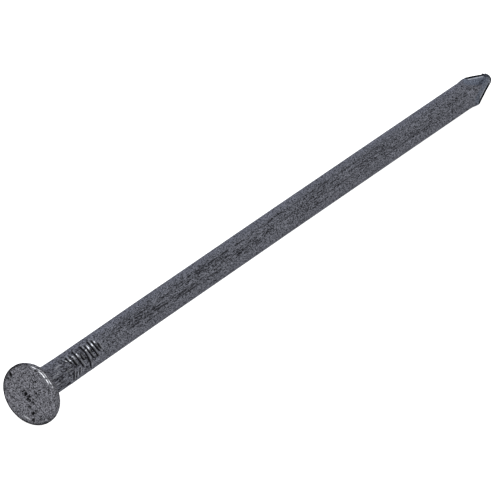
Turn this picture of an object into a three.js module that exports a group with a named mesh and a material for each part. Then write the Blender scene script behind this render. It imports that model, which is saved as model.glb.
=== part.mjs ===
// A flat-headed round spike with a diamond point, made in one piece from drawn steel wire.
//
// Millimetres, +Z up. The driving face lies in the plane x = 0, and the middle of the wire is the X axis,
// so the spike points along +X. It starts as one turned outline, which then gets the three marks that the
// tools of a nail machine leave: the head upset a little to one side, the grip marks below it, and the
// four flats of the pinched point.

import * as THREE from "three";

// Wire
const WIRE_DIAMETER = 7.0;
const LENGTH = 210.0;
const SIDES = 40; // flats around the wire, a multiple of four so that the point's corners fall on them

// Head: a thin disc with a well rounded front edge, struck slightly off the middle of the wire
const HEAD_DIAMETER = 15.3;
const RIM_THICKNESS = 1.05;
const FRONT_EDGE_RADIAL = 0.63;
const FRONT_EDGE_AXIAL = 0.56;
const BACK_EDGE_RADIUS = 0.28;
const HEAD_OFFSET_Y = -0.38;
const HEAD_OFFSET_Z = -0.23;

// Neck: the wire swells where it fed the head
const NECK_DIAMETER = 7.2;
const NECK_FILLET = 0.55;
const NECK_END = 4.0;
const NECK_TAPER_END = 17.5;

// Tool marks: both the grip dies and the pinching cutters close along this direction, which is measured
// about +X from +Y towards +Z
const DIE_ANGLE = THREE.MathUtils.degToRad(142);
const GRIP_COUNT = 9;
const GRIP_START = 13.9;
const GRIP_PITCH = 1.42;
const GRIP_WIDTH = 0.8;
const GRIP_DEPTH = 0.25;
const GRIP_HALF_ARC = THREE.MathUtils.degToRad(54);

// Diamond point: a square pyramid with a blunt end, its corners in line with the dies and across them,
// which leans a little across the dies
const POINT_SLOPE = Math.tan(THREE.MathUtils.degToRad(16.3));
const TIP_REACH = 1.04;
const TIP_CHAMFER = 0.35;
const TIP_LEAN = 0.25;
const PINCH_BULGE = 0.25;
const PINCH_BULGE_LENGTH = 1.6;
const PINCH_BULGE_SETBACK = 1.0; // behind the place where the point's corners come up
const PINCH_BULGE_SHARPNESS = 6; // a higher power keeps the bulge closer to the sides

const wireRadius = WIRE_DIAMETER / 2;
const neckRadius = NECK_DIAMETER / 2;
const headRadius = HEAD_DIAMETER / 2;

// The point's corners meet the round wire here, and its flats start further back
const cornerLength = (wireRadius - TIP_REACH) / POINT_SLOPE;
const flatLength = (wireRadius * Math.SQRT2 - TIP_REACH) / POINT_SLOPE;

// A quarter of an ellipse in the outline, from one angle to another, as [radius, x] points
function quarter(centreRadius, centreX, radial, axial, from, steps) {
  const points = [];
  for (let step = 0; step <= steps; step += 1) {
    const angle = from + (Math.PI / 2) * (step / steps);
    points.push([centreRadius + radial * Math.sin(angle), centreX - axial * Math.cos(angle)]);
  }
  return points;
}

// The outline of the head, from the middle of the driving face round the rim to the underside
function headOutline() {
  const frontEdge = quarter(
    headRadius - FRONT_EDGE_RADIAL,
    FRONT_EDGE_AXIAL,
    FRONT_EDGE_RADIAL,
    FRONT_EDGE_AXIAL,
    0,
    3,
  );
  const backEdge = quarter(
    headRadius - BACK_EDGE_RADIUS,
    RIM_THICKNESS - BACK_EDGE_RADIUS,
    BACK_EDGE_RADIUS,
    BACK_EDGE_RADIUS,
    Math.PI / 2,
    2,
  );
  return [[0, 0], ...frontEdge, ...backEdge];
}

// The hollow corner between the underside and the neck
function filletOutline() {
  const points = [];
  for (const angle of [0, Math.PI / 4, Math.PI / 2]) {
    points.push([
      neckRadius + NECK_FILLET * (1 - Math.sin(angle)),
      RIM_THICKNESS + NECK_FILLET * (1 - Math.cos(angle)),
    ]);
  }
  return points;
}

// The wire's own radius, before any tool mark
function plainRadius(x) {
  const taper = THREE.MathUtils.clamp((x - NECK_END) / (NECK_TAPER_END - NECK_END), 0, 1);
  return THREE.MathUtils.lerp(neckRadius, wireRadius, taper);
}

// The places along the wire that need a ring of points: both edges and the bottom of each grip mark,
// and a row of rings down the point, closest where the corners come up
function wireOutline() {
  const places = [NECK_END];
  for (let grip = 0; grip < GRIP_COUNT; grip += 1) {
    const middle = GRIP_START + grip * GRIP_PITCH;
    places.push(middle - GRIP_WIDTH / 2, middle, middle + GRIP_WIDTH / 2);
  }
  const rearRings = 6;
  for (let ring = 0; ring < rearRings; ring += 1) {
    places.push(LENGTH - THREE.MathUtils.lerp(flatLength, cornerLength, ring / rearRings));
  }
  const pointRings = 6;
  for (let ring = 0; ring <= pointRings; ring += 1) {
    places.push(LENGTH - THREE.MathUtils.lerp(cornerLength, TIP_CHAMFER, ring / pointRings));
  }
  return places.map((x) => [plainRadius(x), x]);
}

// How deep the grip marks are: a V along the wire, which fades out around it towards the dies' joint
function gripDepth(x, angle) {
  const nearest = Math.round((x - GRIP_START) / GRIP_PITCH);
  if (nearest < 0 || nearest >= GRIP_COUNT) return 0;
  const away = Math.abs(x - GRIP_START - nearest * GRIP_PITCH);
  const along = Math.max(0, 1 - away / (GRIP_WIDTH / 2));
  const facing = Math.abs(Math.cos(angle - DIE_ANGLE));
  const edge = Math.cos(GRIP_HALF_ARC);
  const around = Math.sqrt(Math.max(0, (facing - edge) / (1 - edge)));
  return GRIP_DEPTH * along * around;
}

// The metal that the cutters squeeze out sideways where the point begins
function pinchBulge(x, angle) {
  const away = (x - (LENGTH - cornerLength - PINCH_BULGE_SETBACK)) / PINCH_BULGE_LENGTH;
  const sideways = Math.abs(Math.sin(angle - DIE_ANGLE)) ** PINCH_BULGE_SHARPNESS;
  return PINCH_BULGE * Math.exp(-away * away) * sideways;
}

// How far the middle of the point has leant, across the dies
function lean(x) {
  return TIP_LEAN * THREE.MathUtils.clamp((x - (LENGTH - cornerLength)) / cornerLength, 0, 1);
}

// The square pyramid's reach from its own axis
function pyramidReach(x, angle) {
  const corner = TIP_REACH + (LENGTH - x) * POINT_SLOPE;
  return corner / (Math.abs(Math.cos(angle - DIE_ANGLE)) + Math.abs(Math.sin(angle - DIE_ANGLE)));
}

function spikeGeometry() {
  const head = headOutline();
  const tipRadius = TIP_REACH - TIP_CHAMFER;
  const outline = [...head, ...filletOutline(), ...wireOutline(), [tipRadius, LENGTH], [0, LENGTH]];
  const points = outline.map(([radius, x]) => new THREE.Vector2(radius, x));
  const geometry = new THREE.LatheGeometry(points, SIDES);
  geometry.deleteAttribute("normal");
  geometry.deleteAttribute("uv");

  // The lathe's vertices come side by side, each side with one vertex for each outline point
  const position = geometry.getAttribute("position");
  for (let vertex = 0; vertex < position.count; vertex += 1) {
    const ring = vertex % outline.length;
    const side = Math.floor(vertex / outline.length);
    const angle = DIE_ANGLE + (2 * Math.PI * side) / SIDES;
    const [plain, x] = outline[ring];
    const pressed = plain - gripDepth(x, angle) + (ring < head.length ? 0 : pinchBulge(x, angle));
    const radius = Math.min(pressed, pyramidReach(x, angle));
    const middleY = ring < head.length ? HEAD_OFFSET_Y : lean(x) * Math.sin(DIE_ANGLE);
    const middleZ = ring < head.length ? HEAD_OFFSET_Z : -lean(x) * Math.cos(DIE_ANGLE);
    position.setXYZ(vertex, x, middleY + radius * Math.cos(angle), middleZ + radius * Math.sin(angle));
  }
  geometry.computeVertexNormals();
  return geometry;
}

const drawnSteel = new THREE.MeshStandardMaterial({ color: "#5d6068", roughness: 0.6, metalness: 1.0 });

const spike = new THREE.Mesh(spikeGeometry(), drawnSteel);
spike.name = "spike";

const part = new THREE.Group();
part.add(spike);

export default part;
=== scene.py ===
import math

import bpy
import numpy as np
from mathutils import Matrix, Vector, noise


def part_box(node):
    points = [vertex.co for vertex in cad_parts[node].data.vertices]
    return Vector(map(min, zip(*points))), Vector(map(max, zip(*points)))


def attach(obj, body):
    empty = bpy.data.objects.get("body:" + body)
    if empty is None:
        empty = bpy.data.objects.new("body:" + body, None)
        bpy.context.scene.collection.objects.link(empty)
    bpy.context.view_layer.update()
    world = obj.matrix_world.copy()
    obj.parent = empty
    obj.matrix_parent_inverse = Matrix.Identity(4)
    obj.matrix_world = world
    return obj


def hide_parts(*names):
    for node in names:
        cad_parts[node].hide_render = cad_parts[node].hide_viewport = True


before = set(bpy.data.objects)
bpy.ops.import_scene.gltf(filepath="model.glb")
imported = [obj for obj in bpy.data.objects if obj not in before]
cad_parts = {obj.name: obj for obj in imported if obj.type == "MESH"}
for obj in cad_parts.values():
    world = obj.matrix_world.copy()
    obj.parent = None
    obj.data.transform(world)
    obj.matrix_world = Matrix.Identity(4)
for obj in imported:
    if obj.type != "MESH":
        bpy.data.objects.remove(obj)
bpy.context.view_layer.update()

# A flat-headed round spike with a diamond point, lying on a white table. The whole spike is one piece of
# drawn steel wire, so it is built as one closed mesh: rings of points strung along the X axis, from the
# middle of the driving face to the end of the point. The dimensions below are in millimetres. Angles round
# the wire are in degrees about +X, from +Y towards +Z, so that the side facing the camera is near 138. A
# mark's width is how far from its middle it has mostly faded, so it is half of the whole width.

MM = 0.001
spike_low, spike_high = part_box("spike")

# Overall size, taken from the CAD part and drawn in by a hair so that no bump stands outside its box
DRAWN_IN = 0.02
LENGTH = spike_high.x / MM - DRAWN_IN
HEAD_RADIUS = (spike_high.y - spike_low.y) / 2 / MM - DRAWN_IN
HEAD_MIDDLE = np.array([spike_high.y + spike_low.y, spike_high.z + spike_low.z]) / 2 / MM

# Head
RIM_THICKNESS = 1.05
FRONT_EDGE_RADIAL = 0.46
FRONT_EDGE_AXIAL = 0.41
BACK_EDGE_RADIUS = 0.28

# Wire and neck
WIRE_RADIUS = 3.55
NECK_RADIUS = 3.65
NECK_FILLET = 0.55
NECK_END = 4.0
NECK_TAPER_END = 17.5

# The wire isn't quite straight: how far its middle is off the X axis, as (distance from the face, offset),
# towards BOW_ANGLE
BOW = ((0, 0.0), (2, 0.03), (14, 0.14), (50, 0.0), (110, -0.04), (165, 0.0), (192, 0.05), (210, 0.05))
BOW_ANGLE = 228.0

# Both the grip dies and the point cutters close along this direction
DIE_ANGLE = 142.0
FLASH_ANGLES = (DIE_ANGLE - 90, DIE_ANGLE + 90)

# Grip marks left by one die, as (distance from the driving face, first angle, last angle, depth).
# They are not in even rows, because the die was worn.
GRIP_MARKS = (
    (11.7, 90, 112, 0.18),
    (12.6, 90, 122, 0.20),
    (13.9, 97, 141, 0.34),
    (15.2, 120, 154, 0.34),
    (15.5, 97, 123, 0.20),
    (17.0, 88, 176, 0.40),
    (18.3, 123, 152, 0.34),
    (20.2, 88, 202, 0.46),
    (21.5, 102, 166, 0.34),
    (23.2, 91, 172, 0.42),
    (24.5, 96, 160, 0.36),
    (25.5, 123, 156, 0.38),
    (11.8, 158, 178, 0.22),
    (13.4, 158, 204, 0.30),
    (14.6, 168, 204, 0.28),
    (15.9, 164, 200, 0.26),
)
GRIP_WIDTH = 0.25
GRIP_FADE = 9.0  # degrees over which each end of a mark fades out
GRIP_BOW = 0.75  # how much further along the wire the ends of a long mark lie than its middle
GRIP_BOW_ARC = 40.0  # a mark that reaches less far than this to each side is bowed less
BURR_SHARE = 0.45  # the burr's height as a share of its mark's depth
BURR_SETBACK = 0.46
BURR_WIDTH = 0.18
# The line of the wire where the burrs carry painted glints, where the light above catches them
BURR_GLINT_ANGLE = 119.0

# The two dies, as (angle, distance along the wire) from the first. The opposite one left the same marks half
# a turn round and a little further along.
DIES = ((0, 0.0), (180, 0.35))

# Scratches on the neck, as (first distance, its angle, last distance, its angle, bright): the dies slipped.
# Below 0, bright means dark.
NECK_SCRATCHES = (
    (5.4, 143, 10.6, 129, 0.5),
    (8.4, 117, 10.8, 113, 0.8),
    (9.0, 130, 11.6, 138, -1.0),
    (11.2, 139, 12.9, 139, -0.9),
    (5.6, 122, 7.6, 125, -0.8),
    (6.2, 109, 8.0, 113, -0.7),
    (5.4, 133, 7.0, 134, -0.7),
    (10.9, 149, 13.2, 151, 0.5),
    (11.4, 155, 13.6, 157, -0.9),
    (5.3, 152, 8.2, 150, -0.6),
    (6.0, 164, 9.6, 161, -0.8),
    (5.2, 171, 8.0, 170, 0.4),
    (6.6, 176, 10.2, 178, -0.9),
    (5.3, 194, 7.2, 195, -1.0),
    (7.8, 186, 10.6, 190, -0.7),
)
NECK_SCRATCH_WIDTH = 0.13
NECK_SCRATCH_DEPTH = 0.04  # dark ones are this deep, and bright ones stand up as high
SMEAR_DEPTH = 0.07

# Metal torn out between the grip marks, as (first distance, last distance, first angle, last angle)
TORN_PATCHES = (
    (15.0, 15.9, 122, 154),
    (18.4, 19.1, 122, 151),
    (18.9, 19.7, 139, 152),
    (21.5, 22.7, 129, 146),
    (21.6, 22.6, 157, 166),
    (25.2, 25.9, 128, 152),
    (23.3, 24.6, 165, 172),
)
TORN_DEPTH = 0.12
GRIPPED_ROUGHNESS = 0.05

# Seams that the wire was drawn with, as (angle, first distance, last distance)
SEAMS = (
    (116, 58, 108),
    (112, 104, 162),
    (131, 132, 158),
    (157, 150, 180),
    (161, 54, 80),
    (124, 36, 60),
    (150, 34, 74),
    (165, 30, 52),
    (296, 60, 120),
    (341, 90, 150),
    (20, 70, 130),
)
SEAM_WIDTH = 0.15
SEAM_DEPTH = 0.04
SEAM_FADE = 4.0  # length over which each end of a seam fades out

# The straightening rolls scored the wire on this side and opposite it
ROLLED_ANGLE = 140.0
SCORE_DEPTH = 0.04
DRAW_LINE_DEPTH = 0.010

# Point: a square pyramid that leans a little, with its corners in line with the dies and across them
POINT_SLOPE = math.tan(math.radians(16.3))
TIP_REACH = 0.98
TIP_LEAN = 0.27
POINT_START = LENGTH - (WIRE_RADIUS - TIP_REACH) / POINT_SLOPE
SHOULDER = POINT_START - 1.0  # where the cutters squeezed most metal out sideways
SHOULDER_LENGTH = 1.7
SHOULDER_BULGE = 0.24
SHOULDER_LEAN = -0.10
PINCH_BEGUN = 3.0  # from the end: the last stretch was pinched flat before it broke off
PINCH_DONE = 0.9
PINCHED_SHARE = 0.66  # its thickness between the cutters, as a share of its width
ROUNDED_LENGTH = 0.7
DARK_LENGTH = 1.8  # how far back the crushed end is dark
DARK_EXTRA = 1.3  # and how much further on its upper side

# Fins of flash where the two cutters met, as (angle, first distance, height, half the width of the dark band
# that each one lies in). The band is partly dark scale and partly painted shade along the point's outline.
FLASH_FINS = (
    (FLASH_ANGLES[0], POINT_START - 0.4, 0.16, 0.45),
    (FLASH_ANGLES[1], POINT_START - 0.9, 0.14, 0.85),
)
FIN_WIDTH = 0.16
# The painted highlights beside the flash: how far each lies from its dark band, and how wide it is
FLASH_HIGHLIGHT_GAP = 0.28  # from the dark band to the bright thread beside it
FLASH_HIGHLIGHT_WIDTH = 0.15

# A curl of flash left near the end of the point
WHISKER_FROM_END = 1.7
WHISKER_ANGLE = 60.0
WHISKER_HEIGHT = 0.34
WHISKER_SIZE = 0.22

# The larger pits in the driving face, as (y, z, half length, half width, direction, depth), with y and z from
# the head's middle
FACE_PITS = (
    (5.45, 3.7, 0.90, 0.48, 60, 0.50),
    (6.1, 2.6, 0.36, 0.28, 90, 0.30),
    (2.2, 0.3, 0.36, 0.28, 0, 0.28),
    (1.6, 0.7, 0.32, 0.26, 0, 0.25),
    (1.4, -0.2, 0.75, 0.45, 120, 0.45),
    (0.5, -0.6, 0.60, 0.36, 150, 0.45),
    (0.8, -1.3, 0.50, 0.32, 120, 0.36),
    (0.2, -1.5, 0.42, 0.34, 20, 0.38),
    (-0.8, -1.9, 0.44, 0.30, 45, 0.36),
    (0.2, -3.1, 0.44, 0.36, 140, 0.42),
    (-0.6, -4.6, 0.66, 0.36, 130, 0.48),
    (-0.6, -6.2, 0.44, 0.36, 0, 0.42),
    (-1.4, -3.8, 0.34, 0.28, 0, 0.28),
    (-1.6, 0.8, 0.34, 0.24, 120, 0.25),
    (-1.3, 3.6, 0.40, 0.26, 130, 0.28),
    (-5.0, 2.5, 0.36, 0.28, 0, 0.28),
)

# Scratches on the driving face, as (y, z, its other end's y, z, bright)
FACE_SCRATCHES = (
    (1.7, -5.8, 0.3, -6.3, 1.0),
    (-2.2, -4.7, -3.1, -5.5, -1.0),
    (-3.6, -3.9, -4.3, -4.6, -0.8),
    (-1.1, 1.0, -2.1, 0.2, -0.8),
)
FACE_SCRATCH_WIDTH = 0.17
FACE_SCRATCH_DEPTH = 0.05

# The grain of the driving face. The face lies this level behind its plane, so that no grain stands past it.
FACE_LEVEL = 0.08
FINE_GRAIN = 0.055
COARSE_GRAIN = 0.04
SPECK_DEPTH = 0.08

# A narrow bevel on the driving face. Its inner line is part of this circle, from the head's middle.
BEVEL_MIDDLE = (1.37, -0.25)
BEVEL_RADIUS = 7.7
BEVEL_ANGLE = 119.0
BEVEL_SLOPE = 0.16
BEVEL_RIDGE = 0.035
BEVEL_RIDGE_WIDTH = 0.12
# How wide the painted highlights along the bevel and the rounded edge are
HIGHLIGHT_LINE_WIDTH = 0.11

# Rings, closest where the marks are smallest
SIDES = 176  # points in a ring, a multiple of four so that the point's corners fall on them
FACE_RING_GAP = 0.16
RIM_RING_GAP = 0.09
RIM_RINGS_START = 6.3
NECK_RINGS = np.arange(1.9, 12.9, 0.3)
GRIP_RINGS = np.arange(12.9, 26.6, 0.115)
SHANK_RINGS = np.linspace(26.6, 196.0, 190)
POINT_RINGS = np.arange(196.15, LENGTH - 0.4, 0.15)
END_RINGS = (0.36, 0.24, 0.14, 0.06, 0.01)  # measured back from the end

# Fine patterns of the material, as lumps per millimetre along the wire and across it. Real draw lines and
# the grain of a struck face are finer than 0.05 mm, too fine to show from here, so both are drawn coarser.
STREAKS_PER_MM = (1.7, 6.5, 6.5)
DASHES_PER_MM = (0.45, 6.8, 6.8)
GRAIN_PER_MM = 5.2
RELIEF = 0.05  # how deep the bumps of these patterns look

TABLE_HALF = 30.0  # metres, so that the table's edge is out of sight


def smooth_field(points, size, shift):
    """Smooth noise from about -1 to 1 over points in millimetres. size is the size of its lumps, or their
    sizes along x, y and z, and shift moves the pattern so that no two are alike."""
    return np.array([noise.noise(Vector(p)) for p in points / np.array(size) + shift])


def ease(value, low, high):
    """0 below low, 1 above high and an S-curve between."""
    share = np.clip((value - low) / (high - low), 0, 1)
    return share * share * (3 - 2 * share)


def stretch(value, start, full, fading, gone):
    """0 up to start, 1 from full to fading, and 0 again from gone."""
    return ease(value, start, full) * (1 - ease(value, fading, gone))


def near(distance, width):
    """1 where the distance is 0, falling away to nothing over about twice the width."""
    return np.exp(-((distance / width) ** 2))


def turn(angle, middle):
    """How far an angle is from another, in degrees, from -180 to 180."""
    return (angle - middle + 180) % 360 - 180


def facing(angle, middle, full, gone):
    """1 within full degrees of the middle, falling away to 0 at gone."""
    return 1 - ease(np.abs(turn(angle, middle)), full, gone)


def facing_either(angle, middle, full, gone):
    """The same on both sides of the wire, at the middle and opposite it."""
    return 1 - ease(90 - np.abs(np.abs(turn(angle, middle)) - 90), full, gone)


def outline():
    """The spike's outline as rows of (x, radius, head), from the face's middle to the point's end. head is 1
    where the ring is centred on the head and 0 where it is centred on the wire."""
    edge = HEAD_RADIUS - FRONT_EDGE_RADIAL
    inner_face = np.arange(FACE_RING_GAP, RIM_RINGS_START, FACE_RING_GAP)
    outer_face = np.arange(RIM_RINGS_START, edge, RIM_RING_GAP)
    rows = [(0.0, radius, 1.0) for radius in (*inner_face, *outer_face)]
    for angle in np.radians(np.arange(0, 91, 11.25)):
        x = FRONT_EDGE_AXIAL * (1 - math.cos(angle))
        rows.append((x, HEAD_RADIUS - FRONT_EDGE_RADIAL * (1 - math.sin(angle)), 1.0))
    for angle in np.radians(np.arange(0, 91, 18)):
        x = RIM_THICKNESS - BACK_EDGE_RADIUS * (1 - math.sin(angle))
        rows.append((x, HEAD_RADIUS - BACK_EDGE_RADIUS * (1 - math.cos(angle)), 1.0))
    outer = HEAD_RADIUS - BACK_EDGE_RADIUS
    inner = NECK_RADIUS + NECK_FILLET
    for share in np.linspace(0, 1, 9)[1:]:
        rows.append((RIM_THICKNESS, outer + (inner - outer) * share, 1 - share))
    for angle in np.radians(np.arange(15, 91, 15)):
        x = RIM_THICKNESS + NECK_FILLET * (1 - math.cos(angle))
        rows.append((x, NECK_RADIUS + NECK_FILLET * (1 - math.sin(angle)), 0.0))
    for x in np.concatenate([NECK_RINGS, GRIP_RINGS, SHANK_RINGS, POINT_RINGS]):
        taper = float(np.clip((x - NECK_END) / (NECK_TAPER_END - NECK_END), 0, 1))
        rows.append((x, NECK_RADIUS + (WIRE_RADIUS - NECK_RADIUS) * taper, 0.0))
    for from_end in END_RINGS:
        rows.append((LENGTH - from_end, WIRE_RADIUS, 0.0))
    return np.array(rows)


class Surface:
    """The ring points on the plain outline, and the marks made on them so far.

    x, radius and angle say where each point is, and plain is the same place as x, y and z. face is where the
    driving face is, and wire is 1 all the way from the head to the end. dent is how far a point is pressed
    in. The looks say what the steel is like there, from 0 to 1, and the material reads them. The dark look is
    old scale in the hollows, and also painted shade along the rim's edges and the point's flash. The bright
    look is bare metal, partly real wear and partly painted highlights along the head's edge, on the burrs and
    beside the flash. struck and sheared say how the surface was made, and scored is where the rolls marked
    it."""

    def __init__(self):
        rows = outline()
        shape = (len(rows), SIDES)
        self.x = np.repeat(rows[:, 0], SIDES).reshape(shape)
        self.radius = np.repeat(rows[:, 1], SIDES).reshape(shape)
        self.on_head = np.repeat(rows[:, 2], SIDES).reshape(shape)
        self.angle = np.tile(DIE_ANGLE + 360 * np.arange(SIDES) / SIDES, (len(rows), 1))
        self.turned = np.radians(self.angle)
        across = self.radius * np.cos(self.turned)
        up = self.radius * np.sin(self.turned)
        self.plain = np.stack([self.x, across, up], -1)

        # The outline's own direction gives each ring its outward normal, along x and along the radius
        step = np.gradient(rows[:, :2], axis=0)
        step /= np.linalg.norm(step, axis=1, keepdims=True)
        self.normal_x = -step[:, 1:2] * np.ones(SIDES)
        self.normal_r = step[:, 0:1] * np.ones(SIDES)

        self.face = (self.normal_x < -0.5) & (self.x < RIM_THICKNESS)
        self.wire = ease(self.x, 1.2, 2.2)
        self.dent = np.zeros(shape)
        self.looks = {name: np.zeros(shape) for name in ("hollow", "wear_and_highlight", "struck", "sheared", "scored")}

    def field(self, size, shift):
        """Smooth noise over the surface, from about -1 to 1."""
        return smooth_field(self.plain.reshape(-1, 3), size, shift).reshape(self.x.shape)

    def press(self, depth):
        """Presses the surface in, or raises it where the depth is below 0."""
        self.dent = self.dent + depth

    def mark(self, look, amount):
        """Gives the surface a look, where it doesn't have more of it already."""
        self.looks[look] = np.maximum(self.looks[look], amount)

    def points(self):
        """Where the points come to lie: the head is off centre, the wire is bowed and the point leans."""
        along = np.clip((self.x - POINT_START) / (LENGTH - POINT_START), 0, 1)
        lean = TIP_LEAN * along + SHOULDER_LEAN * near(self.x - SHOULDER, 2.5)
        bow = np.interp(self.x, *zip(*BOW))
        bow_turned, lean_turned = np.radians(BOW_ANGLE), np.radians(FLASH_ANGLES[0])
        wire_y = bow * np.cos(bow_turned) + lean * np.cos(lean_turned)
        wire_z = bow * np.sin(bow_turned) + lean * np.sin(lean_turned)
        middle_y = self.on_head * HEAD_MIDDLE[0] + (1 - self.on_head) * wire_y
        middle_z = self.on_head * HEAD_MIDDLE[1] + (1 - self.on_head) * wire_z
        x = np.clip(self.x - self.dent * self.normal_x, 0.0, LENGTH)
        radius = self.radius - self.dent * self.normal_r
        y = middle_y + radius * np.cos(self.turned)
        z = middle_z + radius * np.sin(self.turned)
        return np.stack([x, y, z], -1)


def strike_face(surface):
    """The face as the hammer left it: an orange-peel grain with dark specks, and the bevel on the side that
    the hammer met first, with painted highlights along the bevel and the rounded edge."""
    across, up = surface.plain[..., 1] - BEVEL_MIDDLE[0], surface.plain[..., 2] - BEVEL_MIDDLE[1]
    past_bevel = np.hypot(across, up) - BEVEL_RADIUS
    bevelled = surface.face * facing(surface.angle, BEVEL_ANGLE, 22, 32)
    ridge = BEVEL_RIDGE * near(past_bevel, BEVEL_RIDGE_WIDTH)
    surface.press(bevelled * (BEVEL_SLOPE * np.clip(past_bevel, 0, 1) - ridge))
    grain = FINE_GRAIN * surface.field(0.5, 3.1) + COARSE_GRAIN * surface.field(1.3, 8.4)
    specks = surface.face * ease(surface.field(0.42, 21.0), 0.22, 0.45)
    surface.press(surface.face * (FACE_LEVEL + grain) + SPECK_DEPTH * specks)
    surface.mark("hollow", 0.75 * specks)
    surface.mark("struck", ease(RIM_THICKNESS * 0.8 - surface.x, -0.2, 0.2))

    # Painted highlights, drawn as bright bare steel only on the arc of the edge where the lights catch it:
    # one line along the bevel, and one beside it at the start of the rounded edge
    bevel_highlight = near(past_bevel - 0.05, HIGHLIGHT_LINE_WIDTH) * facing(surface.angle, BEVEL_ANGLE, 24, 31)
    edge_at = 7.36 - 0.36 * ease(surface.angle % 360, 114, 140)
    edge_highlight = near(surface.radius - edge_at, HIGHLIGHT_LINE_WIDTH) * facing(surface.angle, 130, 20, 28)
    front = (surface.normal_x < -0.2) & (surface.x < RIM_THICKNESS / 2)
    patchy = ease(surface.field(0.7, 81.0), -0.35, 0.1)
    surface.mark("wear_and_highlight", front * patchy * np.maximum(bevel_highlight, 0.8 * edge_highlight))


def pit_face(surface):
    """The larger pits in the face, and the scratches on it."""
    for y, z, half_length, half_width, direction, deep in FACE_PITS:
        across, up = surface.plain[..., 1] - y, surface.plain[..., 2] - z
        cosine, sine = math.cos(math.radians(direction)), math.sin(math.radians(direction))
        lengthways = (across * cosine + up * sine) / half_length
        sideways = (up * cosine - across * sine) / half_width
        pit = surface.face * (1 - ease(np.hypot(lengthways, sideways), 0.35, 1.15))
        surface.press(deep * pit)
        surface.mark("hollow", np.clip(1.2 * pit, 0, 1))

    for y, z, other_y, other_z, bright in FACE_SCRATCHES:
        run = np.array([other_y - y, other_z - z])
        away = surface.plain[..., 1:] - (y, z)
        reached = np.clip(away @ run / (run @ run), 0, 1)[..., None]
        aside = np.linalg.norm(away - reached * run, axis=-1)
        scratch = surface.face * bright * near(aside, FACE_SCRATCH_WIDTH)
        surface.press(FACE_SCRATCH_DEPTH * np.abs(scratch))
        surface.mark("hollow", -scratch)
        surface.mark("wear_and_highlight", 0.4 * scratch)


def dent_rim(surface):
    """Small dents round the rim, and painted shade on its edges and just inside them, lightest on the upper
    side, where the light falls.
    """
    rim = (surface.radius > HEAD_RADIUS - 0.9) & (surface.x < RIM_THICKNESS + 0.01)
    surface.press(rim * (0.02 + 0.02 * surface.field(0.9, 5.2) + 0.02 * surface.field(0.4, 6.6)))
    edges = rim * ease(surface.normal_r, 0.08, 0.40)
    beside_edge = surface.face * ease(surface.radius, HEAD_RADIUS - 0.75, HEAD_RADIUS - 0.45)
    # Painted shade: the rim's edges darkened as a dark outline, less on the upper side where the light falls
    edge_shade = 0.9 - 0.65 * facing(surface.angle, 145, 55, 95)
    surface.mark("hollow", edge_shade * np.maximum(edges, 0.7 * beside_edge))


def draw_wire(surface):
    """Draw lines all along the wire, and short scores on the two sides that the straightening rolls rubbed.
    The scores get fewer and fainter towards the point."""
    plain_wire = surface.wire * (1 - ease(surface.x, POINT_START - 3.5, POINT_START))
    rolled = plain_wire * facing_either(surface.angle, ROLLED_ANGLE, 24, 42)
    scored = rolled * ease(surface.field((16.0, 0.8, 0.8), 14.0), -0.35, 0.30)
    scored *= 1 - 0.35 * ease(surface.x, 110, 175)
    scores = scored * ease(surface.field((3.0, 0.36, 0.36), 11.0), 0.15, 0.40)
    draw_lines = DRAW_LINE_DEPTH * plain_wire * surface.field((30.0, 0.42, 0.42), 2.0)
    surface.press(draw_lines + SCORE_DEPTH * scores)
    surface.mark("hollow", 0.2 * scores)
    surface.mark("scored", scored)


def open_seams(surface):
    """Thin, broken seams along the wire, fainter towards the point."""
    for seam_angle, begin, finish in SEAMS:
        wander = 0.12 * surface.field((9.0, 3.0, 3.0), seam_angle / 10)
        aside = np.radians(turn(surface.angle, seam_angle)) * WIRE_RADIUS - wander
        seam = near(aside, SEAM_WIDTH)
        seam *= stretch(surface.x, begin, begin + SEAM_FADE, finish - SEAM_FADE, finish)
        seam *= ease(surface.field((3.5, 1.0, 1.0), seam_angle), -0.25, 0.15)
        seam *= 1 - 0.4 * ease(surface.x, 100, 170)
        surface.press(SEAM_DEPTH * seam)
        surface.mark("hollow", seam)


def drag_neck(surface):
    """The wire was dragged through the grip dies, which left smeared, wavy marks on the lower side of the
    neck and scratches on both sides of it."""
    dragged = stretch(surface.x, 1.8, 3.0, 12.5, 15.5) * facing(surface.angle, 165, 45, 62)
    smears = surface.field((2.0, 0.42, 0.42), 31.0) + 0.5 * surface.field((0.9, 0.25, 0.25), 33.0)
    surface.press(SMEAR_DEPTH * dragged * smears)
    surface.mark("hollow", 0.85 * dragged * ease(smears, 0.10, 0.38))

    scratched = np.zeros_like(surface.x)
    for begin, first, finish, last, bright in NECK_SCRATCHES:
        along = np.clip((surface.x - begin) / (finish - begin), 0, 1)
        wavy = 1.5 * np.sin((surface.x - begin) * 3)
        inside = stretch(surface.x, begin - 0.3, begin + 0.3, finish - 0.3, finish + 0.3)
        for side, _ in DIES:
            middle = first + (last - first) * along + wavy + side
            aside = np.radians(turn(surface.angle, middle)) * NECK_RADIUS
            scratched += bright * inside * near(aside, NECK_SCRATCH_WIDTH)
    surface.press(-NECK_SCRATCH_DEPTH * scratched)
    surface.mark("hollow", np.clip(-scratched, 0, 1))
    surface.mark("wear_and_highlight", 0.4 * np.clip(scratched, 0, 1))


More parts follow.
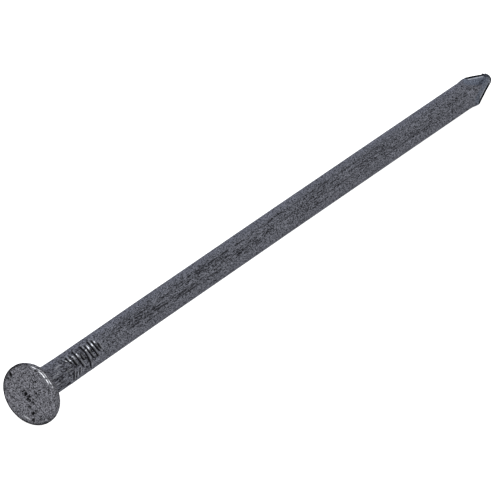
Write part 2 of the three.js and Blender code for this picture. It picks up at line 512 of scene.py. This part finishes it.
def press_grips(surface):
    """The grip marks, each with the burr that it raised on the side towards the point."""
    depth = np.zeros_like(surface.x)
    for side, shift in DIES:
        for place, first, last, deep in GRIP_MARKS:
            middle, half = (first + last) / 2 + side, (last - first) / 2
            round_share = turn(surface.angle, middle) / half
            along = surface.x - place - shift - GRIP_BOW * round_share**2 * min(1, half / GRIP_BOW_ARC)
            ends = 1 - ease(np.abs(round_share), 1 - GRIP_FADE / half, 1)
            burr = BURR_SHARE * near(along - BURR_SETBACK, BURR_WIDTH)
            depth += deep * ends * (near(along, GRIP_WIDTH) - burr)
    surface.press(depth)
    surface.mark("hollow", np.clip(depth / 0.17, 0, 1))

    # Painted glints: bright bare steel on the burrs along the one line of the wire where the light above
    # catches them, and faint bare patches on the burrs everywhere else
    raised = np.clip(-depth / 0.08, 0, 1)
    highlit = np.maximum(0.15, facing(surface.angle, BURR_GLINT_ANGLE, 4, 9))
    surface.mark("wear_and_highlight", raised * highlit * ease(surface.field(0.7, 84.0), -0.6, -0.1))


def tear_grips(surface):
    """Rough metal all over the gripped stretch, and the patches torn out between the marks."""
    gripped = stretch(surface.x, 13.2, 14.4, 24.8, 26.4)
    ragged_x = surface.x + 0.25 * surface.field(0.5, 46.0)
    torn = 0.6 * gripped * facing_either(surface.angle, DIE_ANGLE - 8, 25, 45)
    torn *= ease(surface.field((0.8, 0.9, 0.9), 41.0), 0.1, 0.4)
    scaly = 0.95 + 0.05 * surface.field(0.4, 47.0)
    for begin, finish, first, last in TORN_PATCHES:
        inside = stretch(ragged_x, begin - 0.1, begin + 0.1, finish - 0.1, finish + 0.1)
        for side, _ in DIES:
            beyond = np.abs(turn(surface.angle, (first + last) / 2 + side)) - (last - first) / 2
            torn = np.maximum(torn, inside * (1 - ease(beyond, -4, 2)) * scaly)
    surface.press(TORN_DEPTH * torn + GRIPPED_ROUGHNESS * gripped * surface.field(0.5, 44.0))
    surface.mark("hollow", torn)


def cut_point(surface):
    """Cuts the wire back to the four flats of the point, with some metal squeezed out where they begin."""
    across_die = np.abs(np.sin(surface.turned - math.radians(DIE_ANGLE)))
    with_die = np.abs(np.cos(surface.turned - math.radians(DIE_ANGLE)))
    reach = TIP_REACH + (LENGTH - surface.x) * POINT_SLOPE + 0.03 * surface.field(1.5, 51.0)
    flats = reach / (across_die + with_die)
    pinched = reach / np.hypot(across_die, with_die / PINCHED_SHARE)
    flats += (pinched - flats) * ease(surface.x, LENGTH - PINCH_BEGUN, LENGTH - PINCH_DONE)
    squeezed = SHOULDER_BULGE * near(surface.x - SHOULDER, SHOULDER_LENGTH) * across_die**6
    round_wire = surface.radius + surface.wire * squeezed
    surface.mark("sheared", surface.wire * ease(round_wire - flats, -0.02, 0.30))
    surface.radius = np.minimum(round_wire, flats)


def brighten_point(surface, amount):
    """Bright bare steel in broken patches on the point: the painted highlights beside the flash, and the
    bright lip at the crushed end.
    """
    surface.mark("wear_and_highlight", 0.6 * amount * ease(surface.field(1.4, 86.0), -0.6, -0.1))


def raise_flash(surface):
    """The fins of flash, each in a dark band that is partly scale and partly painted shade, with a painted
    highlight along both its sides, and the whisker.
    """
    down_point = np.zeros((surface.x.size, 3))
    down_point[:, 0] = surface.x.ravel()
    fins = np.zeros_like(surface.x)
    for flash_angle, start, high, wide in FLASH_FINS:
        aside = np.radians(turn(surface.angle, flash_angle)) * np.maximum(surface.radius, 0.4)
        begun = ease(surface.x, start, start + 0.4)
        ragged = 1 + 0.5 * smooth_field(down_point, (1.1, 1, 1), flash_angle).reshape(surface.x.shape)
        fins += high * ragged * near(aside, FIN_WIDTH) * begun
        # Dark band along each fin: partly dark scale on the flash, partly painted shade along the point's
        # outline
        surface.mark("hollow", begun * np.exp(-((aside / wide) ** 4)))
        # Painted highlight: a thin line of bright bare steel beside each dark band, stopping short of the end
        highlit = begun * (1 - ease(surface.x, LENGTH - 3.2, LENGTH - 2.4))
        brighten_point(surface, highlit * near(np.abs(aside) - wide - FLASH_HIGHLIGHT_GAP, FLASH_HIGHLIGHT_WIDTH))
    whisker = near(surface.x - LENGTH + WHISKER_FROM_END, WHISKER_SIZE)
    whisker *= near(np.radians(turn(surface.angle, WHISKER_ANGLE)) * 1.3, WHISKER_SIZE)
    surface.radius = surface.radius + fins + WHISKER_HEIGHT * whisker


def crush_end(surface):
    """The blunt end of the point, crushed and dark, with a bright lip on its lower side."""
    end = np.clip((surface.x - LENGTH + ROUNDED_LENGTH) / ROUNDED_LENGTH, 0, 1)
    surface.radius = surface.radius * (1 - end**2) ** 0.35
    surface.press(0.06 * ease(surface.x, LENGTH - 2.0, LENGTH - 0.5) * surface.field(0.5, 61.0))
    dark_length = DARK_LENGTH + DARK_EXTRA * facing(surface.angle, 75, 35, 75)
    crushed = surface.x - LENGTH + dark_length + 0.3 * surface.field(0.7, 63.0)
    mottled = 0.62 + 0.35 * surface.field(0.5, 65.0)
    surface.mark("hollow", mottled * ease(crushed, 0.0, 0.5))
    brighten_point(surface, surface.wire * near(crushed + 0.15, 0.16) * facing(surface.angle, 165, 35, 50))


def darken_ridge_and_spot(surface):
    """Darker patches along the ridge that faces the dies, and a dark spot at the point's lower shoulder."""
    ridge = surface.looks["sheared"] * facing(surface.angle, DIE_ANGLE - 12, 6, 16)
    surface.mark("hollow", 0.6 * ridge * ease(surface.field((1.6, 0.7, 0.7), 71.0), -0.35, 0.1))
    shoulder_spot = near(surface.x - POINT_START + 1.2, 0.5) * near(turn(surface.angle, 200), 8)
    surface.mark("hollow", 0.9 * shoulder_spot)


def ring_faces(rings):
    """The quads between the rings, and the two fans of triangles that close the ends. The fans' middles come
    after all the ring points."""
    ring = np.arange(rings - 1)[:, None] * SIDES
    side = np.arange(SIDES)[None, :]
    after = (side + 1) % SIDES
    quads = np.stack([ring + side, ring + after, ring + SIDES + after, ring + SIDES + side], -1)
    face_middle, end_middle = rings * SIDES, rings * SIDES + 1
    last = (rings - 1) * SIDES
    fans = [(face_middle, (s + 1) % SIDES, s) for s in range(SIDES)]
    fans += [(end_middle, last + s, last + (s + 1) % SIDES) for s in range(SIDES)]
    return quads.reshape(-1, 4).tolist() + fans


def build_spike():
    """The whole spike as one closed mesh, which carries the looks for the material as attributes."""
    surface = Surface()
    for step in (
        strike_face,
        pit_face,
        dent_rim,
        draw_wire,
        open_seams,
        drag_neck,
        press_grips,
        tear_grips,
        cut_point,
        raise_flash,
        crush_end,
        darken_ridge_and_spot,
    ):
        step(surface)
    points = surface.points()
    face_middle = [points[0, :, 0].mean(), *HEAD_MIDDLE]
    end_middle = points[-1].mean(0)
    verts = np.concatenate([points.reshape(-1, 3), [face_middle, end_middle]]) * MM
    mesh = bpy.data.meshes.new("drawn_wire_spike")
    mesh.from_pydata(verts.tolist(), [], ring_faces(len(points)))
    mesh.shade_smooth()
    for name, values in surface.looks.items():
        attribute = mesh.attributes.new(name, "FLOAT", "POINT")
        with_middles = np.concatenate([values.ravel(), [values[0].mean(), values[-1].mean()]])
        attribute.data.foreach_set("value", with_middles.astype(np.float32))
    made = bpy.data.objects.new("drawn_wire_spike", mesh)
    bpy.context.scene.collection.objects.link(made)
    return made


def linear(hex_colour):
    """An sRGB colour such as "80858f" as the linear RGBA that the shader wants."""
    channels = [int(hex_colour[i : i + 2], 16) / 255 for i in (0, 2, 4)]
    return [c / 12.92 if c <= 0.04045 else ((c + 0.055) / 1.055) ** 2.4 for c in channels] + [1.0]


def add(tree, kind, inputs=(), **settings):
    """Adds a node. settings go on the node, and inputs are (socket, value or the socket it comes from). On a
    mix node, sockets 2 and 3 are the two numbers, and 6 and 7 are the two colours."""
    made = tree.nodes.new(kind)
    for name, value in settings.items():
        setattr(made, name, value)
    for socket, value in inputs:
        if isinstance(value, bpy.types.NodeSocket):
            tree.links.new(value, made.inputs[socket])
        else:
            made.inputs[socket].default_value = value
    return made


def oxide_colour(tree, looks):
    """The oxide's colour by how the surface was made: drawn wire, the struck face, the sheared point."""
    drawn = [(0, looks["struck"]), (6, linear("595a60")), (7, linear("5c5c61"))]
    drawn_or_struck = add(tree, "ShaderNodeMix", drawn, data_type="RGBA").outputs[2]
    sheared = [(0, looks["sheared"]), (6, drawn_or_struck), (7, linear("5c6069"))]
    return add(tree, "ShaderNodeMix", sheared, data_type="RGBA").outputs[2]


def stretched_noise(tree, place, per_mm, detail):
    """Noise with its own number of lumps per millimetre along the wire and across it."""
    per_metre = tuple(count / MM for count in per_mm)
    scaled = add(tree, "ShaderNodeVectorMath", [(0, place), (1, per_metre)], operation="MULTIPLY").outputs[0]
    noise_inputs = [("Vector", scaled), ("Scale", 1.0), ("Detail", detail)]
    return add(tree, "ShaderNodeTexNoise", noise_inputs).outputs[0]


def fine_pattern(tree, place, looks):
    """Streaks about 0.6 mm long and 0.15 mm wide on the drawn wire, and an even grain on the struck face."""
    streaks = stretched_noise(tree, place, STREAKS_PER_MM, 2.0)
    grain_inputs = [("Vector", place), ("Scale", GRAIN_PER_MM / MM), ("Detail", 1.0)]
    grain = add(tree, "ShaderNodeTexNoise", grain_inputs).outputs[0]
    either = [(0, looks["struck"]), (2, streaks), (3, grain)]
    return add(tree, "ShaderNodeMix", either, data_type="FLOAT").outputs[0]


def darken_for_scale_and_shade(tree, place, looks):
    """How dark the oxide is made: the dark look, which is old scale in the hollows and painted shade, and
    dark dashes of old scale about 2.2 mm long and 0.15 mm wide on the two sides that the rolls scored."""
    dashes = stretched_noise(tree, place, DASHES_PER_MM, 1.0)
    limits = [("From Min", 0.53), ("From Max", 0.58), ("To Min", 0.0), ("To Max", 0.9)]
    dark = add(tree, "ShaderNodeMapRange", [("Value", dashes), *limits]).outputs[0]
    scores = add(tree, "ShaderNodeMath", [(0, dark), (1, looks["scored"])], operation="MULTIPLY").outputs[0]
    return add(tree, "ShaderNodeMath", [(0, scores), (1, looks["hollow"])], operation="MAXIMUM").outputs[0]


def drawn_steel():
    """Dull drawn steel with a thin dark oxide, which the machine has struck, gripped and sheared. Where the
    oxide has come off, the steel is bright, smoother and fully metallic, and the same bright steel draws the
    painted highlights. The oxide darkens under old scale and under painted shade."""
    material = bpy.data.materials.new("drawn_steel_dull_oxide")
    material.use_nodes = True
    tree = material.node_tree
    tree.nodes.clear()
    place = add(tree, "ShaderNodeTexCoord").outputs["Object"]
    looks = {
        name: add(tree, "ShaderNodeAttribute", attribute_name=name).outputs["Fac"]
        for name in ("hollow", "wear_and_highlight", "struck", "sheared", "scored")
    }
    wear_and_highlight = looks["wear_and_highlight"]

    # The oxide, lighter and darker by the fine pattern and nearly black under old scale and painted shade
    pattern = fine_pattern(tree, place, looks)
    limits = [("From Min", 0.36), ("From Max", 0.64), ("To Min", 0.02), ("To Max", 1.98)]
    shade = add(tree, "ShaderNodeMapRange", [("Value", pattern), *limits]).outputs[0]
    darkening = darken_for_scale_and_shade(tree, place, looks)
    undarkening = [("Value", darkening), ("To Min", 1.0), ("To Max", 0.05)]
    undarkened = add(tree, "ShaderNodeMapRange", undarkening).outputs[0]
    strength = add(tree, "ShaderNodeMath", [(0, shade), (1, undarkened)], operation="MULTIPLY").outputs[0]
    toned_inputs = [(0, oxide_colour(tree, looks)), ("Scale", strength)]
    toned = add(tree, "ShaderNodeVectorMath", toned_inputs, operation="SCALE").outputs[0]

    # Bright bare steel where the oxide has come off, and where highlights are painted
    bare = [(0, wear_and_highlight), (6, toned), (7, linear("d8dade"))]
    colour = add(tree, "ShaderNodeMix", bare, data_type="RGBA").outputs[2]
    metallic = add(tree, "ShaderNodeMix", [(0, wear_and_highlight), (2, 0.6), (3, 1.0)], data_type="FLOAT").outputs[0]
    roughness = add(tree, "ShaderNodeMix", [(0, wear_and_highlight), (2, 0.52), (3, 0.28)], data_type="FLOAT").outputs[0]
    relief_inputs = [("Strength", 1.0), ("Distance", RELIEF * MM), ("Height", pattern)]
    relief = add(tree, "ShaderNodeBump", relief_inputs).outputs[0]

    # The oxide has no clear shine of its own, and hardly brightens at a grazing angle
    steel = [
        ("Base Color", colour),
        ("Metallic", metallic),
        ("Roughness", roughness),
        ("Specular IOR Level", 0.0),
        ("Specular Tint", (0.3, 0.3, 0.3, 1)),
        ("Normal", relief),
    ]
    shader = add(tree, "ShaderNodeBsdfPrincipled", steel).outputs[0]
    add(tree, "ShaderNodeOutputMaterial", [("Surface", shader)])
    return material


def lit_white_acrylic():
    """White acrylic over a light, which gives the plain white ground without a cast shadow."""
    material = bpy.data.materials.new("lit_white_acrylic")
    material.use_nodes = True
    shader = material.node_tree.nodes["Principled BSDF"]
    shader.inputs["Base Color"].default_value = (0.35, 0.35, 0.35, 1)
    shader.inputs["Roughness"].default_value = 1.0
    shader.inputs["Specular IOR Level"].default_value = 0.0
    shader.inputs["Emission Color"].default_value = (1, 1, 1, 1)
    shader.inputs["Emission Strength"].default_value = 1.0
    return material


def white_table(resting):
    """The plane that the spike rests on, touching the bottom of the rim and of the point's shoulder."""
    places = np.array([vertex.co for vertex in resting.data.vertices])
    head_end = places[places[:, 0] < 2 * MM]
    foot = head_end[head_end[:, 2].argmin()]
    point_half = places[places[:, 0] > LENGTH / 2 * MM]
    slope = ((point_half[:, 2] - foot[2]) / (point_half[:, 0] - foot[0])).min()
    corners = []
    for side_x, side_y in ((-1, -1), (1, -1), (1, 1), (-1, 1)):
        x = side_x * TABLE_HALF
        corners.append((x, side_y * TABLE_HALF, foot[2] + slope * (x - foot[0])))
    mesh = bpy.data.meshes.new("white_table")
    mesh.from_pydata(corners, [], [(0, 1, 2, 3)])
    mesh.materials.append(lit_white_acrylic())
    made = bpy.data.objects.new("white_table", mesh)
    bpy.context.scene.collection.objects.link(made)
    return made


def soft_light(name, direction, distance, size, radiance, colour="ffffff"):
    """A round soft light that looks at the middle of the spike. radiance is how bright it looks, where the
    white table looks 1."""
    light = bpy.data.lights.new(name, "AREA")
    light.shape = "DISK"
    light.size = size
    light.energy = radiance * math.pi * math.pi * (size / 2) ** 2
    light.color = linear(colour)[:3]
    holder = bpy.data.objects.new(name, light)
    towards = Vector(direction).normalized()
    holder.location = Vector((LENGTH / 2 * MM, 0, 0)) + towards * distance
    holder.rotation_euler = towards.to_track_quat("Z", "Y").to_euler()
    holder.visible_camera = False
    bpy.context.scene.collection.objects.link(holder)


# The spike
spike = build_spike()
spike.data.materials.append(drawn_steel())
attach(spike, "root")
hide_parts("spike")

# The table
white_table(spike)

# Light: a white room and five soft lights
world = bpy.data.worlds.new("white_room")
world.use_nodes = True
world.node_tree.nodes["Background"].inputs["Color"].default_value = (1.0, 1.0, 1.0, 1)
world.node_tree.nodes["Background"].inputs["Strength"].default_value = 1.0
bpy.context.scene.world = world
soft_light("back_light", (0.75, 0.62, 0.22), 1.6, 0.9, 3.3, "e2ebff")
soft_light("top_light", (-0.1, 0.15, 1.0), 1.2, 0.5, 7.5, "e2ebff")
soft_light("head_light", (-1.0, 0.16, 0.09), 1.3, 0.35, 10.0)
soft_light("burr_light", (-0.17, -0.25, 0.95), 1.2, 0.28, 14.0)
soft_light("point_light", (1.0, 0.05, 0.12), 1.3, 0.35, 2.5)

# Camera: a long lens from the head end, upright and a little above the spike. The distances are in metres,
# and the place aimed at is a little to the right of the picture's middle and above it.
LENS = 510.3
SENSOR = 36.0
AZIMUTH = math.radians(-58.3)
ELEVATION = math.radians(25.1)
DISTANCE = 1.6935
AIM_X = 0.105
AIM_LEFT = 0.004834
AIM_BELOW = 0.005190
back = Vector((
    math.sin(AZIMUTH) * math.cos(ELEVATION),
    -math.cos(AZIMUTH) * math.cos(ELEVATION),
    math.sin(ELEVATION),
))
camera_turn = back.to_track_quat("Z", "Y")
right, up = camera_turn @ Vector((1, 0, 0)), camera_turn @ Vector((0, 1, 0))
camera = bpy.data.objects.new("camera", bpy.data.cameras.new("camera"))
camera.data.lens = LENS
camera.data.sensor_width = SENSOR
camera.location = Vector((AIM_X, 0, 0)) - right * AIM_LEFT - up * AIM_BELOW + back * DISTANCE
camera.rotation_mode = "QUATERNION"
camera.rotation_quaternion = camera_turn
bpy.context.scene.collection.objects.link(camera)
bpy.context.scene.camera = camera
bpy.context.scene.view_settings.view_transform = "Standard"
